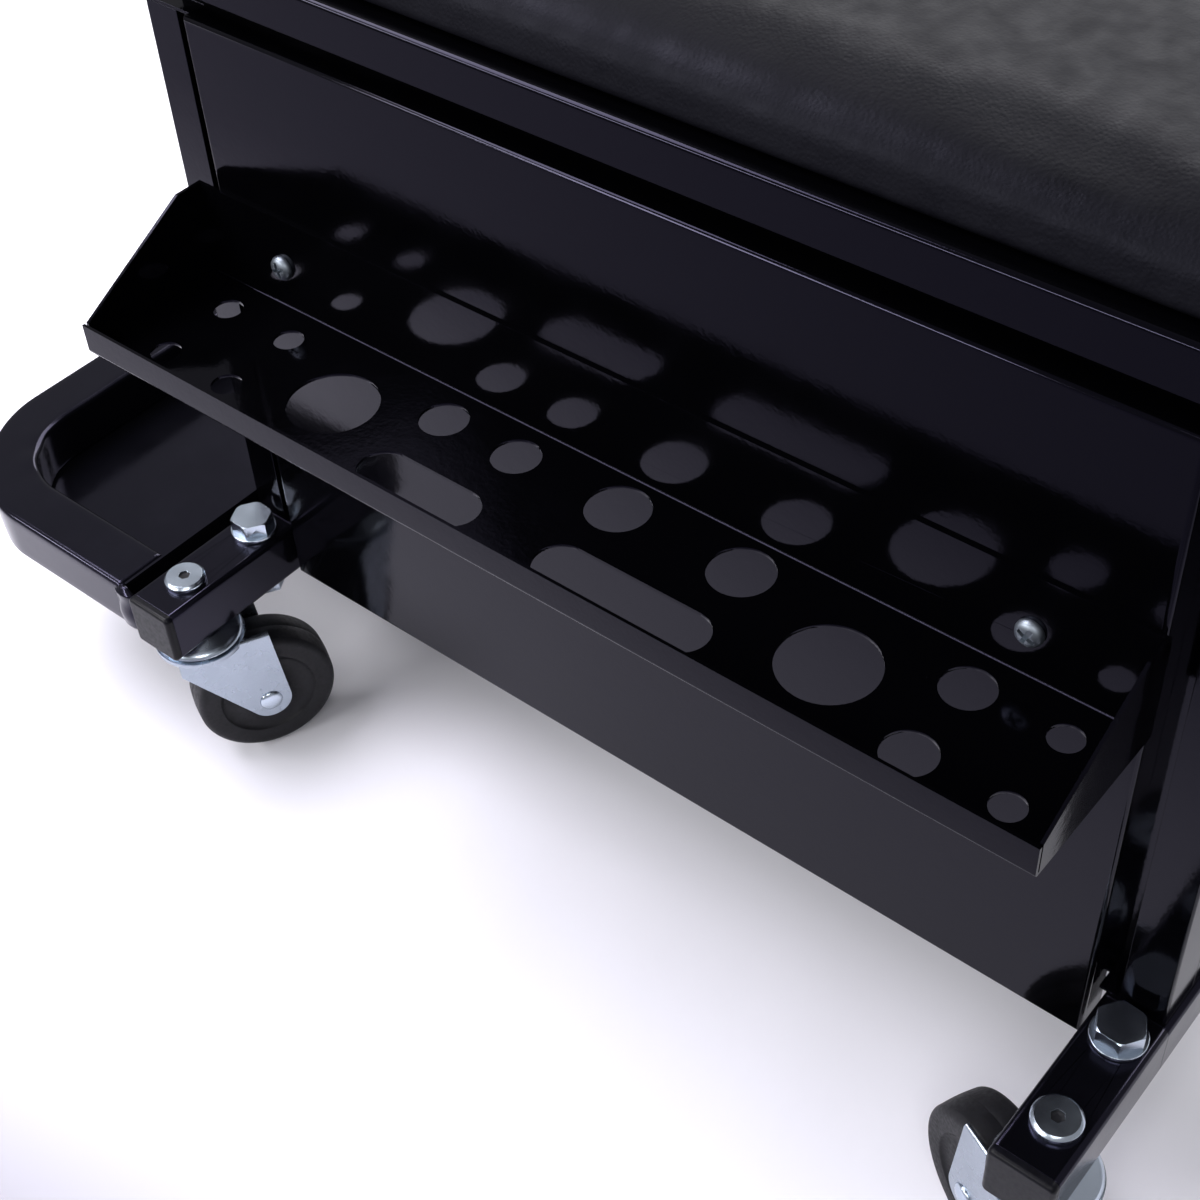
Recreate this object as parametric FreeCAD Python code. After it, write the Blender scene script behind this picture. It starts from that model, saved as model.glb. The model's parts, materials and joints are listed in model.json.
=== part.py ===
"""Low rolling tool chest with a padded seat lid, three drawers, two hung tool trays and a parts tray.

Every sub-part is written as its own STEP file in parts/. Units are millimetres, +Z is up.
The origin is on the floor, under the middle of the whole chest's box.
-X is the drawer end, with the bumper tube and its parts tray. The lid is hinged at the +X end.
-Y is called front and +Y rear; left is the -X end and right is the +X end.
"""
import FreeCAD, Part
import math
import os

from FreeCAD import Vector

# ---------------------------------------------------------------- driving dimensions

SHEET = 1.2                 # all folded steel sheet
SHEET_BEND = 2.0            # outer radius of a fold

# chest body
BODY_LENGTH = 440.0         # along X, over the corner posts
BODY_DEPTH = 350.0          # along Y, over the side panels
BODY_BOTTOM = 81.5          # lower edge of the side panels above the floor
BODY_TOP = 347.0            # upper edge of the side panels
PANEL_LENGTH = 388.4        # visible length of a side panel
PANEL_RETURN = 13.8         # how far a side panel folds back
END_RETURN = 10.0           # how far the end panel folds in
GROOVE_WIDTH = 8.8          # dark groove between a side panel and a corner post
POST_RECESS = 5.0           # post face behind the side panel's face
POST_DEPTH = 20.0           # post along Y
POST_TUCK = 18.0            # flange of a post that runs behind the side panel

# frame under the chest
TUBE = 25.0                 # square tube of the arms, the base frame and the bumper
TUBE_WALL = 2.0
TUBE_CORNER = 2.5           # outer corner radius of the square tube
SPIGOT = 20.0               # inner square tube that carries an arm
SPIGOT_WALL = 1.5
SPIGOT_REACH = 30.0         # length of spigot inside an arm, and inside the base tube
FRAME_BOTTOM = 78.0         # underside of all the square tube
ARM_X = 210.0               # arm centre line from the middle of the chest
ARM_REACH = 69.5            # arm end in front of the side panel's face
ARM_BOLT_REACH = 7.2        # hex bolt in front of the side panel's face
CASTER_REACH = 47.2         # caster stem in front of the side panel's face
CAP_RIM = 3.5               # thickness of an end cap's rim
CAP_PLUG = 12.0             # plug of an end cap inside the tube
BASE_RAIL_Y = 120.0
KICK_GAP = 1.1              # between the cross tube and the strip hung in front of it
KICK_LIFT = 6.0             # strip's lower edge over the underside of the tube

# bumper tube and parts tray
BUMPER_REACH = 366.0        # outside of the bumper from the middle of the chest
BUMPER_HALF_WIDTH = 241.5
BUMPER_WALL = 1.5
BUMPER_RADIUS = 62.0        # outer radius of its two bends
BUMPER_GAP = 6.5            # between the bumper and the arm
PARTS_TRAY_INSET = 3.0      # parts tray's edge inside the outside of the bumper
LUG_HEIGHT = 14.0
LUG_LENGTH = 30.0

# lid and seat
LID_BOTTOM = 357.0
LID_TOP = 373.3
LID_CORNER = 6.0
COLLAR_INSET = 12.0         # collar under the lid, behind the chest's faces
COLLAR_CLEARANCE = 0.6      # under the lid's plate
PAD_THICKNESS = 25.0
PAD_MARGIN = 3.5            # between the pad's side and the lid's edge
PAD_CORNER = 18.0
PAD_EDGE = 9.0

# lid hinge
HINGE_LENGTH = 294.0
HINGE_KNUCKLES = 7
KNUCKLE_GAP = 0.4
KNUCKLE_RADIUS = 3.2
HINGE_PIN_RADIUS = 1.5
HINGE_CLEARANCE = 0.06
HINGE_OVERHANG = 1.0        # pin beyond each end of the leaves
LEAF_CLEARANCE = 0.3        # between a leaf's edge and the other leaf's knuckles
HINGE_Z = 352.0
HINGE_LEAF = 18.0           # height of a leaf from the pin's axis

# drawers and the top compartment
OPENING_HALF_WIDTH = 150.0  # between the posts
DRAWER_COUNT = 3
DRAWER_HEIGHT = 57.0
DRAWER_GAP = 3.0
DRAWER_LOWEST = 107.0
DRAWER_SIDE_GAP = 2.5
DRAWER_BOX_HALF_WIDTH = 137.0
DRAWER_BOX_LENGTH = 376.0
DRAWER_BOX_HEIGHT = 44.0
DRAWER_BOX_LIFT = 5.0       # box floor above the front's lower edge
PULL_REACH = 12.0
PULL_DROP = 8.0
TILL_FLOOR = 286.2          # upper face of the top compartment's floor
TILL_END = 206.0
RAIL_SETBACK = 4.0          # fixed rails behind the faces of the posts
RAIL_LENGTH = 396.0
RAIL_HEIGHT = 20.0
RUNNER_CLEARANCE = 0.8
RAIL_SHEET = 1.2

# tool trays hung on the side panels
TRAY_LENGTH = 400.0
TRAY_OFFSET = -4.0          # tray centre from the middle of the chest
TRAY_FLOOR = 238.3          # upper face of the tray's floor
TRAY_BACK = 278.0           # upper edge of its back plate
TRAY_DEPTH = 65.0
TRAY_LIP = 11.5             # lip height over the floor's upper face
TRAY_END_FLAT = 11.0        # level part of an end plate's upper edge
TRAY_CORNER_GAP = 0.8       # open slit where the lip meets an end plate
TRAY_SCREW_X = 158.5
TRAY_SCREW_RISE = 17.9      # screw axis over the tray's floor
HOLE_ROWS = (16.3, 33.0, 48.4)  # hole centres from the side panel
SLOT_WIDTH = 19.0

# holes in a tool tray: distance along it, row, diameter
TRAY_HOLES = [
    (-177.0, 0, 11.6), (-144.0, 0, 11.6), (-176.0, 2, 11.6), (-143.0, 2, 11.6),
    (-103.7, 1, 34.0), (-65.4, 0, 18.2), (-31.6, 0, 18.2), (13.5, 0, 23.2),
    (64.3, 0, 23.2), (109.6, 1, 34.0), (148.3, 0, 18.2), (181.4, 0, 11.6),
    (148.5, 2, 18.2), (181.4, 2, 11.6),
]
# slots in a tool tray: distance along it, end-to-end length
TRAY_SLOTS = [(-47.5, 52.0), (40.4, 69.0)]

# fasteners
SCREW_HEAD_RADIUS = 4.85
SCREW_HEAD_HEIGHT = 3.2
SCREW_RADIUS = 2.5
SCREW_LENGTH = 12.0
SCREW_TURNS = (20.0, 65.0)  # how far each screw happens to be turned, in degrees
RECESS_WIDTH = 1.5
RECESS_LENGTH = 6.2
RECESS_DEPTH = 1.8
BOLT_RADIUS = 5.0
BOLT_HEAD_FLATS = 16.0
BOLT_HEAD_HEIGHT = 6.6
BOLT_CROWN_RADIUS = 8.5     # circle where the head's top meets its chamfered corners
BOLT_CROWN_DROP = 4.4       # fall of the chamfer's cone at a radius equal to the width across flats
BOLT_TURN = -4.0            # a corner of each hex head from +X, in degrees
BOLT_END = 70.5
NUT_HEIGHT = 6.0
WASHER_RADIUS = 10.0
WASHER_THICKNESS = 2.0
STEM_BOLT_HEAD_RADIUS = 8.85
STEM_BOLT_HEAD_HEIGHT = 3.4
STEM_BOLT_RADIUS = 4.0
STEM_BOLT_CHAMFER = 1.2
STEM_BOLT_SOCKET = 4.6
STEM_BOLT_SOCKET_DEPTH = 3.2
HOLE_CLEARANCE = 0.3        # radial, around every bolt and screw

# casters
WHEEL_RADIUS = 31.8
WHEEL_WIDTH = 21.0
WHEEL_SHOULDER = 3.0
WHEEL_DISH = 2.2
WHEEL_RIM = 9.0             # flat rim of the wheel's side outside its dish
WHEEL_HUB_RADIUS = 11.0
WHEEL_HUB_WIDTH = 23.4
CASTER_TRAIL = 21.5
AXLE_RADIUS = 4.0
AXLE_HEAD_RADIUS = 5.2
AXLE_HEAD = 1.8
RUNNING_CLEARANCE = 0.05
FORK_SHEET = 2.0
FORK_HALF_WIDTH = 14.4      # outer faces of the fork's legs
FORK_LEG_REACH = 26.9       # upper corner of a leg from the swivel axis, along the trail
FORK_LEG_DROP = 7.0         # height of a leg's straight front edge under the top plate
FORK_TOP = 71.4
FORK_PLATE_RADIUS = 19.8
FORK_EYE_RADIUS = 9.5       # round lower end of a fork leg
KINGPIN_RADIUS = 5.0
KINGPIN_HEAD_RADIUS = 8.0
KINGPIN_HEAD = 2.5
SWIVEL_GAP = 0.3
RACE_RADIUS = 19.2
RACE_EDGE = 1.5
RACE_HEIGHT = 3.2
RACE_NECK_RADIUS = 12.0
STEM_TOP = 92.0

# corners: name, sign of X, sign of Y, direction of the caster's trail at rest in degrees from +X
CORNERS = [
    ("front_left", -1, -1, 63.5),
    ("front_right", 1, -1, 155.0),
    ("rear_left", -1, 1, -18.0),
    ("rear_right", 1, 1, -140.0),
]

# ---------------------------------------------------------------- derived dimensions

HALF_LENGTH = BODY_LENGTH / 2
HALF_DEPTH = BODY_DEPTH / 2
POST_FACE = HALF_DEPTH - POST_RECESS
FRAME_TOP = FRAME_BOTTOM + TUBE
HINGE_X = HALF_LENGTH + KNUCKLE_RADIUS + 0.2
REAR_REACH = max(HINGE_X + KNUCKLE_RADIUS, ARM_X + FORK_PLATE_RADIUS)
CHEST_X = (BUMPER_REACH - REAR_REACH) / 2   # middle of the chest from the origin
POST_TOP = BODY_TOP - 2 * SHEET


# ---------------------------------------------------------------- shape helpers

def box(low, high):
    """Block between two corners, in chest coordinates."""
    size = [h - l for l, h in zip(low, high)]
    return Part.makeBox(*size, Vector(*low))


def cylinder(radius, base, height, axis=(0, 0, 1)):
    return Part.makeCylinder(radius, height, Vector(*base), Vector(*axis))


def face_of(points):
    """Flat face with straight sides through the given points."""
    corners = [Vector(*p) for p in points]
    return Part.Face(Part.makePolygon(corners + corners[:1]))


def revolved(profile):
    """Solid of revolution about Z, from (radius, z) points."""
    return face_of([(r, 0, z) for r, z in profile]).revolve(Vector(), Vector(0, 0, 1), 360)


def edges_where(shape, test):
    return [e for e in shape.Edges if test(e)]


def is_along(edge, direction):
    """True for a straight edge that runs along the direction."""
    if edge.Curve.TypeId != "Part::GeomLine":
        return False
    return abs(abs(edge.Curve.Direction.dot(Vector(*direction))) - 1) < 1e-6


def square_bar(size, start, end, corner=0.0):
    """Square bar along X or Y between the centres of its two ends, with rounded long edges."""
    run = Vector(*end) - Vector(*start)
    half = size / 2
    if abs(run.x) > abs(run.y):
        bar = box((start[0], start[1] - half, start[2] - half), (end[0], end[1] + half, end[2] + half))
        direction = (1, 0, 0)
    else:
        bar = box((start[0] - half, start[1], start[2] - half), (end[0] + half, end[1], end[2] + half))
        direction = (0, 1, 0)
    if corner:
        bar = bar.makeFillet(corner, edges_where(bar, lambda e: is_along(e, direction)))
    return bar


def square_tube(size, wall, start, end, corner=0.0):
    """Square tube along X or Y, open at both ends."""
    return square_bar(size, start, end, corner).cut(square_bar(size - 2 * wall, start, end))


def hexagon(flats, height, centre, turn=0.0):
    """Upright hexagonal prism on its centre point."""
    radius = flats / math.sqrt(3)
    corners = [math.radians(60 * k + turn) for k in range(6)]
    ring = [(centre[0] + radius * math.cos(a), centre[1] + radius * math.sin(a), centre[2]) for a in corners]
    return face_of(ring).extrude(Vector(0, 0, height))


def rounded_rectangle(half_x, half_y, radius, z):
    """Face of a rectangle about the chest's axis with rounded corners."""
    plate = box((-half_x, -half_y, z), (half_x, half_y, z + 1))
    plate = plate.makeFillet(radius, edges_where(plate, lambda e: is_along(e, (0, 0, 1))))
    return next(f for f in plate.Faces if f.normalAt(0, 0).z < -0.99)


def turned(shape):
    """The same piece on the other side of the chest, turned half a turn about the vertical."""
    copy = shape.copy()
    copy.rotate(Vector(), Vector(0, 0, 1), 180)
    return copy


def signed_box(sx, sy, low, high):
    """Block given for the +X +Y corner, put at the corner with the given signs."""
    xs = sorted((sx * low[0], sx * high[0]))
    ys = sorted((sy * low[1], sy * high[1]))
    return box((xs[0], ys[0], low[2]), (xs[1], ys[1], high[2]))


def write(name, shape):
    """Moves a shape from chest coordinates to the part's frame and writes its STEP file."""
    placed = shape.copy()
    placed.translate(Vector(CHEST_X, 0, 0))
    placed.exportStep(f"parts/{name}.step")


# ---------------------------------------------------------------- base frame and arms

def base_cross_tube(sx):
    z = FRAME_BOTTOM + TUBE / 2
    return square_tube(TUBE, TUBE_WALL, (sx * ARM_X, -POST_FACE, z), (sx * ARM_X, POST_FACE, z), TUBE_CORNER)


def base_rails():
    """Two tubes along X, welded between the cross tubes."""
    z = FRAME_BOTTOM + TUBE / 2
    end = ARM_X - TUBE / 2
    rails = [square_tube(TUBE, TUBE_WALL, (-end, y, z), (end, y, z), TUBE_CORNER)
             for y in (-BASE_RAIL_Y, BASE_RAIL_Y)]
    return Part.Compound(rails)


def arm_spigots():
    """Short inner tubes, half in a cross tube and half in an arm, drilled for the hex bolts."""
    z = FRAME_BOTTOM + TUBE / 2
    made = []
    for _, sx, sy, _ in CORNERS:
        inner, outer = sorted((sy * (POST_FACE - SPIGOT_REACH), sy * (POST_FACE + SPIGOT_REACH)))
        tube = square_tube(SPIGOT, SPIGOT_WALL, (sx * ARM_X, inner, z), (sx * ARM_X, outer, z))
        made.append(tube.cut(bolt_hole(sx, sy)))
    return Part.Compound(made)


def bolt_hole(sx, sy):
    y = sy * (HALF_DEPTH + ARM_BOLT_REACH)
    return cylinder(BOLT_RADIUS + HOLE_CLEARANCE, (sx * ARM_X, y, FRAME_BOTTOM - 1), TUBE + 2)


def arm(sx, sy):
    """Outrigger tube from the chest's face to its end cap, drilled for the hex bolt and the caster."""
    z = FRAME_BOTTOM + TUBE / 2
    near, far = sorted((sy * POST_FACE, sy * (HALF_DEPTH + ARM_REACH - CAP_RIM)))
    tube = square_tube(TUBE, TUBE_WALL, (sx * ARM_X, near, z), (sx * ARM_X, far, z), TUBE_CORNER)
    y = sy * (HALF_DEPTH + CASTER_REACH)
    stem_hole = cylinder(KINGPIN_RADIUS + HOLE_CLEARANCE, (sx * ARM_X, y, FRAME_BOTTOM - 1), TUBE / 2)
    screw_hole = cylinder(STEM_BOLT_RADIUS + HOLE_CLEARANCE, (sx * ARM_X, y, FRAME_TOP - TUBE / 2), TUBE)
    return tube.cut(Part.Compound([bolt_hole(sx, sy), stem_hole, screw_hole]))


def arm_end_caps():
    """Plastic plugs with a rounded square rim."""
    z = FRAME_BOTTOM + TUBE / 2
    made = []
    for _, sx, sy, _ in CORNERS:
        tip = HALF_DEPTH + ARM_REACH
        rim_y = sorted((sy * (tip - CAP_RIM), sy * tip))
        rim = square_bar(TUBE, (sx * ARM_X, rim_y[0], z), (sx * ARM_X, rim_y[1], z), TUBE_CORNER)
        outer_edges = edges_where(rim, lambda e: abs(abs(e.CenterOfMass.y) - tip) < 1e-6)
        rim = rim.makeFillet(CAP_RIM / 2, outer_edges)
        plug_y = sorted((sy * (tip - CAP_RIM - CAP_PLUG), sy * (tip - CAP_RIM)))
        plug = square_bar(TUBE - 2 * TUBE_WALL, (sx * ARM_X, plug_y[0], z), (sx * ARM_X, plug_y[1], z))
        made.append(rim.fuse(plug).removeSplitter())
    return Part.Compound(made)


# ---------------------------------------------------------------- fasteners

def arm_bolts():
    """Hex bolts through the arms and their spigots."""
    made = []
    for _, sx, sy, _ in CORNERS:
        x, y = sx * ARM_X, sy * (HALF_DEPTH + ARM_BOLT_REACH)
        under_head = FRAME_TOP + WASHER_THICKNESS
        head = hexagon(BOLT_HEAD_FLATS, BOLT_HEAD_HEIGHT, (x, y, under_head), BOLT_TURN)
        flats, height = BOLT_HEAD_FLATS, BOLT_HEAD_HEIGHT
        crown = revolved([(0, 0), (flats, 0), (flats, height - BOLT_CROWN_DROP),
                          (BOLT_CROWN_RADIUS, height), (0, height)])
        crown.translate(Vector(x, y, under_head))
        shank = cylinder(BOLT_RADIUS, (x, y, BOLT_END), under_head - BOLT_END)
        made.append(head.common(crown).fuse(shank).removeSplitter())
    return Part.Compound(made)


def arm_washers():
    made = []
    for _, sx, sy, _ in CORNERS:
        base = (sx * ARM_X, sy * (HALF_DEPTH + ARM_BOLT_REACH), FRAME_TOP)
        disc = cylinder(WASHER_RADIUS, base, WASHER_THICKNESS)
        made.append(disc.cut(cylinder(BOLT_RADIUS + HOLE_CLEARANCE, base, WASHER_THICKNESS)))
    return Part.Compound(made)


def arm_nuts():
    made = []
    for _, sx, sy, _ in CORNERS:
        base = (sx * ARM_X, sy * (HALF_DEPTH + ARM_BOLT_REACH), FRAME_BOTTOM - NUT_HEIGHT)
        nut = hexagon(BOLT_HEAD_FLATS, NUT_HEIGHT, base)
        made.append(nut.cut(cylinder(BOLT_RADIUS, base, NUT_HEIGHT)))
    return Part.Compound(made)


def caster_bolts():
    """Round flat-headed socket screws on top of the arms, into the caster stems."""
    made = []
    for _, sx, sy, _ in CORNERS:
        x, y = sx * ARM_X, sy * (HALF_DEPTH + CASTER_REACH)
        radius, height = STEM_BOLT_HEAD_RADIUS, STEM_BOLT_HEAD_HEIGHT
        head = revolved([(0, 0), (radius, 0), (radius, height - STEM_BOLT_CHAMFER),
                         (radius - STEM_BOLT_CHAMFER, height), (0, height)])
        head.translate(Vector(x, y, FRAME_TOP))
        socket = hexagon(STEM_BOLT_SOCKET, STEM_BOLT_SOCKET_DEPTH,
                         (x, y, FRAME_TOP + height - STEM_BOLT_SOCKET_DEPTH))
        shank = cylinder(STEM_BOLT_RADIUS, (x, y, STEM_TOP), FRAME_TOP - STEM_TOP)
        made.append(head.cut(socket).fuse(shank))
    return Part.Compound(made)


def tray_screw():
    """Pan-head cross-recess screw, its head on z = 0 and its shank downwards."""
    radius, height = SCREW_HEAD_RADIUS, SCREW_HEAD_HEIGHT
    head = revolved([(0, 0), (radius, 0), (radius, 0.35 * height), (0.88 * radius, 0.7 * height),
                     (0.6 * radius, 0.93 * height), (0.25 * radius, height), (0, height)])
    wide, long, low = RECESS_WIDTH / 2, RECESS_LENGTH / 2, height - RECESS_DEPTH
    recess = box((-wide, -long, low), (wide, long, height + 1))
    recess = recess.fuse(box((-long, -wide, low), (long, wide, height + 1)))
    shank = cylinder(SCREW_RADIUS, (0, 0, -SCREW_LENGTH), SCREW_LENGTH)
    return head.cut(recess).fuse(shank).removeSplitter()


def tray_screw_places():
    """Screw axes on the front side panel: x and z."""
    z = TRAY_FLOOR + TRAY_SCREW_RISE
    return [(TRAY_OFFSET - TRAY_SCREW_X, z), (TRAY_OFFSET + TRAY_SCREW_X, z)]


def tool_tray_screws():
    made = []
    for turn, (x, z) in zip(SCREW_TURNS, tray_screw_places()):
        screw = tray_screw()
        screw.rotate(Vector(), Vector(0, 0, 1), turn)
        screw.rotate(Vector(), Vector(1, 0, 0), 90)
        screw.translate(Vector(x, -HALF_DEPTH - SHEET, z))
        made += [screw, turned(screw)]
    return Part.Compound(made)


# ---------------------------------------------------------------- bumper tube and parts tray

def bumper_outline(inset):
    """Flat U-shaped area of the bumper seen from above, its outer side pulled in by inset."""
    x_out = -(BUMPER_REACH - inset)
    y_out = BUMPER_HALF_WIDTH - inset
    x_end = bumper_end()
    radius = BUMPER_RADIUS - inset
    middle = radius * (1 - math.sqrt(0.5))
    lower = Part.Arc(Vector(x_out + radius, -y_out, 0), Vector(x_out + middle, -y_out + middle, 0),
                     Vector(x_out, -y_out + radius, 0))
    upper = Part.Arc(Vector(x_out, y_out - radius, 0), Vector(x_out + middle, y_out - middle, 0),
                     Vector(x_out + radius, y_out, 0))
    sides = [
        Part.LineSegment(Vector(x_end, -y_out, 0), Vector(x_out + radius, -y_out, 0)), lower,
        Part.LineSegment(Vector(x_out, -y_out + radius, 0), Vector(x_out, y_out - radius, 0)), upper,
        Part.LineSegment(Vector(x_out + radius, y_out, 0), Vector(x_end, y_out, 0)),
        Part.LineSegment(Vector(x_end, y_out, 0), Vector(x_end, -y_out, 0)),
    ]
    return Part.Face(Part.Wire([s.toShape() for s in sides]))


def bumper_end():
    """X of the tube's two open ends, at the parts tray's end wall."""
    return -(ARM_X + TUBE / 2 + BUMPER_GAP) - SHEET


def bumper_tube():
    """Square tube bent to a U, open at both ends."""
    def ring(outer, inner, low, high):
        area = bumper_outline(outer).cut(bumper_outline(inner))
        area.translate(Vector(0, 0, low))
        return area.extrude(Vector(0, 0, high - low))

    solid = ring(0, TUBE, FRAME_BOTTOM, FRAME_TOP)
    long_edges = edges_where(solid, lambda e: abs(e.CenterOfMass.z - FRAME_TOP) < 1e-6
                             or abs(e.CenterOfMass.z - FRAME_BOTTOM) < 1e-6)
    end = bumper_end()
    long_edges = [e for e in long_edges if abs(e.CenterOfMass.x - end) > 1e-6]
    solid = solid.makeFillet(TUBE_CORNER, long_edges)
    hollow = ring(BUMPER_WALL, TUBE - BUMPER_WALL, FRAME_BOTTOM + BUMPER_WALL, FRAME_TOP - BUMPER_WALL)
    return solid.cut(hollow)


def parts_tray():
    """Sheet floor under the bumper tube, with an upright wall that closes the tube's ends."""
    floor = bumper_outline(PARTS_TRAY_INSET).extrude(Vector(0, 0, SHEET))
    floor.translate(Vector(0, 0, FRAME_BOTTOM - SHEET))
    end = bumper_end()
    y = BUMPER_HALF_WIDTH - TUBE_CORNER
    wall = box((end, -y, FRAME_BOTTOM - SHEET), (end + SHEET, y, FRAME_TOP))
    wall = wall.makeFillet(SHEET * 0.9, edges_where(wall, lambda e: e.CenterOfMass.z < FRAME_BOTTOM - 1
                                                    and e.CenterOfMass.x > end + 0.9 * SHEET))
    return floor.fuse(wall).removeSplitter()


def bumper_lugs():
    """Flat blocks welded between the parts tray's wall and the two left arms."""
    start = -(ARM_X + TUBE / 2 + BUMPER_GAP)
    made = []
    for sy in (-1, 1):
        middle = sy * (HALF_DEPTH + CASTER_REACH)
        made.append(box((start, middle - LUG_LENGTH / 2, FRAME_BOTTOM),
                        (start + BUMPER_GAP, middle + LUG_LENGTH / 2, FRAME_BOTTOM + LUG_HEIGHT)))
    return Part.Compound(made)


# ---------------------------------------------------------------- chest body

def side_panel():
    """Front side panel: a shallow pan with folded returns, drilled for the tray's screws."""
    half = PANEL_LENGTH / 2
    back = HALF_DEPTH - PANEL_RETURN
    plate = box((-half, -HALF_DEPTH, BODY_BOTTOM), (half, -back, BODY_TOP))
    rim = edges_where(plate, lambda e: abs(e.CenterOfMass.y + HALF_DEPTH) < 1e-6)
    plate = plate.makeFillet(SHEET_BEND, rim)
    hollow = box((-half + SHEET, -HALF_DEPTH + SHEET, BODY_BOTTOM + SHEET),
                 (half - SHEET, -back + 1, BODY_TOP - SHEET))
    inner_rim = edges_where(hollow, lambda e: abs(e.CenterOfMass.y + HALF_DEPTH - SHEET) < 1e-6)
    hollow = hollow.makeFillet(SHEET_BEND - SHEET, inner_rim)
    # the returns make room for the top frame's ledge and for its collar
    ledge = box((-half - 1, -POST_FACE, POST_TOP), (half + 1, -back + 1, BODY_TOP - SHEET))
    collar = box((-half - 1, -HALF_DEPTH + COLLAR_INSET, POST_TOP), (half + 1, -back + 1, BODY_TOP + 1))
    holes = [cylinder(SCREW_RADIUS + HOLE_CLEARANCE, (x, -HALF_DEPTH - 1, z), SHEET + 2, (0, 1, 0))
             for x, z in tray_screw_places()]
    return plate.cut(Part.Compound([hollow] + holes)).cut(ledge.fuse(collar))


def corner_post(sx, sy):
    """Folded post: end face, side face, groove wall and a flange behind the side panel."""
    inner = POST_FACE - POST_DEPTH
    face_start = PANEL_LENGTH / 2 + GROOVE_WIDTH
    tuck_end = HALF_DEPTH - PANEL_RETURN
    tuck_start = face_start - POST_TUCK
    bottom, top = FRAME_TOP + SHEET, POST_TOP
    pieces = [
        ((HALF_LENGTH - SHEET, inner, bottom), (HALF_LENGTH, POST_FACE, top)),
        ((face_start, POST_FACE - SHEET, bottom), (HALF_LENGTH, POST_FACE, top)),
        ((face_start, tuck_end - SHEET, bottom), (face_start + SHEET, POST_FACE, top)),
        ((tuck_start, tuck_end - SHEET, bottom), (face_start, tuck_end, top)),
        ((face_start, inner, bottom), (HALF_LENGTH, inner + SHEET, top)),
    ]
    blocks = [signed_box(sx, sy, low, high) for low, high in pieces]
    post = blocks[0].fuse(blocks[1:]).removeSplitter()
    corner = edges_where(post, lambda e: is_along(e, (0, 0, 1))
                         and abs(abs(e.CenterOfMass.x) - HALF_LENGTH) < 1e-6
                         and abs(abs(e.CenterOfMass.y) - POST_FACE) < 1e-6)
    return post.makeFillet(SHEET * 0.95, corner)


def end_panel():
    """Closed end of the chest between its two right posts, with folded returns."""
    inner_y = OPENING_HALF_WIDTH
    low, high = FRAME_TOP + SHEET, POST_TOP
    pan = box((HALF_LENGTH - END_RETURN, -inner_y, low), (HALF_LENGTH, inner_y, high))
    hollow = box((HALF_LENGTH - END_RETURN - 1, -inner_y + SHEET, low + SHEET),
                 (HALF_LENGTH - SHEET, inner_y - SHEET, high - SHEET))
    return pan.cut(hollow)


def bottom_panel():
    """Floor of the chest on the base frame, with a kick strip folded down at the drawer end."""
    y = POST_FACE - SHEET
    floor = box((-HALF_LENGTH, -y, FRAME_TOP), (HALF_LENGTH, y, FRAME_TOP + SHEET))
    # the side panels' returns pass the floor's two long edges
    reach = HALF_DEPTH - PANEL_RETURN
    for sy in (-1, 1):
        floor = floor.cut(signed_box(1, sy, (-PANEL_LENGTH / 2 - 1, reach, FRAME_TOP - 1),
                                     (PANEL_LENGTH / 2 + 1, y + 1, FRAME_TOP + SHEET + 1)))
    inner = OPENING_HALF_WIDTH
    face = -ARM_X - TUBE / 2 - KICK_GAP
    strip = box((face - SHEET, -inner, FRAME_BOTTOM + KICK_LIFT), (face, inner, FRAME_TOP + SHEET))
    bridge = box((face - SHEET, -inner, FRAME_TOP), (-HALF_LENGTH, inner, FRAME_TOP + SHEET))
    return floor.fuse([strip, bridge]).removeSplitter()


def top_till():
    """Open compartment under the lid; its left wall is the chest's face above the drawers."""
    y = OPENING_HALF_WIDTH
    low = TILL_FLOOR - SHEET
    tub = box((-HALF_LENGTH, -y, low), (TILL_END, y, POST_TOP))
    inside = box((-HALF_LENGTH + SHEET, -y + SHEET, TILL_FLOOR), (TILL_END - SHEET, y - SHEET, POST_TOP + 1))
    return tub.cut(inside)


def top_frame():
    """Ledge over the posts and the till's walls, with the collar that the lid closes over."""
    ledge_low, ledge_high = POST_TOP, POST_TOP + SHEET
    opening = box((-HALF_LENGTH + SHEET + COLLAR_INSET, -OPENING_HALF_WIDTH + SHEET, ledge_low - 1),
                  (TILL_END - SHEET, OPENING_HALF_WIDTH - SHEET, ledge_high + 1))
    ledge = box((-HALF_LENGTH, -POST_FACE, ledge_low), (HALF_LENGTH, POST_FACE, ledge_high)).cut(opening)
    collar_x = HALF_LENGTH - COLLAR_INSET
    collar_y = HALF_DEPTH - COLLAR_INSET
    top = LID_TOP - SHEET - COLLAR_CLEARANCE
    collar = box((-collar_x, -collar_y, ledge_high), (collar_x, collar_y, top))
    collar = collar.cut(box((-collar_x + SHEET, -collar_y + SHEET, ledge_high - 1),
                            (collar_x - SHEET, collar_y - SHEET, top + 1)))
    return ledge.fuse(collar).removeSplitter()


# ---------------------------------------------------------------- drawers

def drawer_low(index):
    """Lower edge of a drawer's front; drawer 0 is the lowest."""
    return DRAWER_LOWEST + index * (DRAWER_HEIGHT + DRAWER_GAP)


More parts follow.
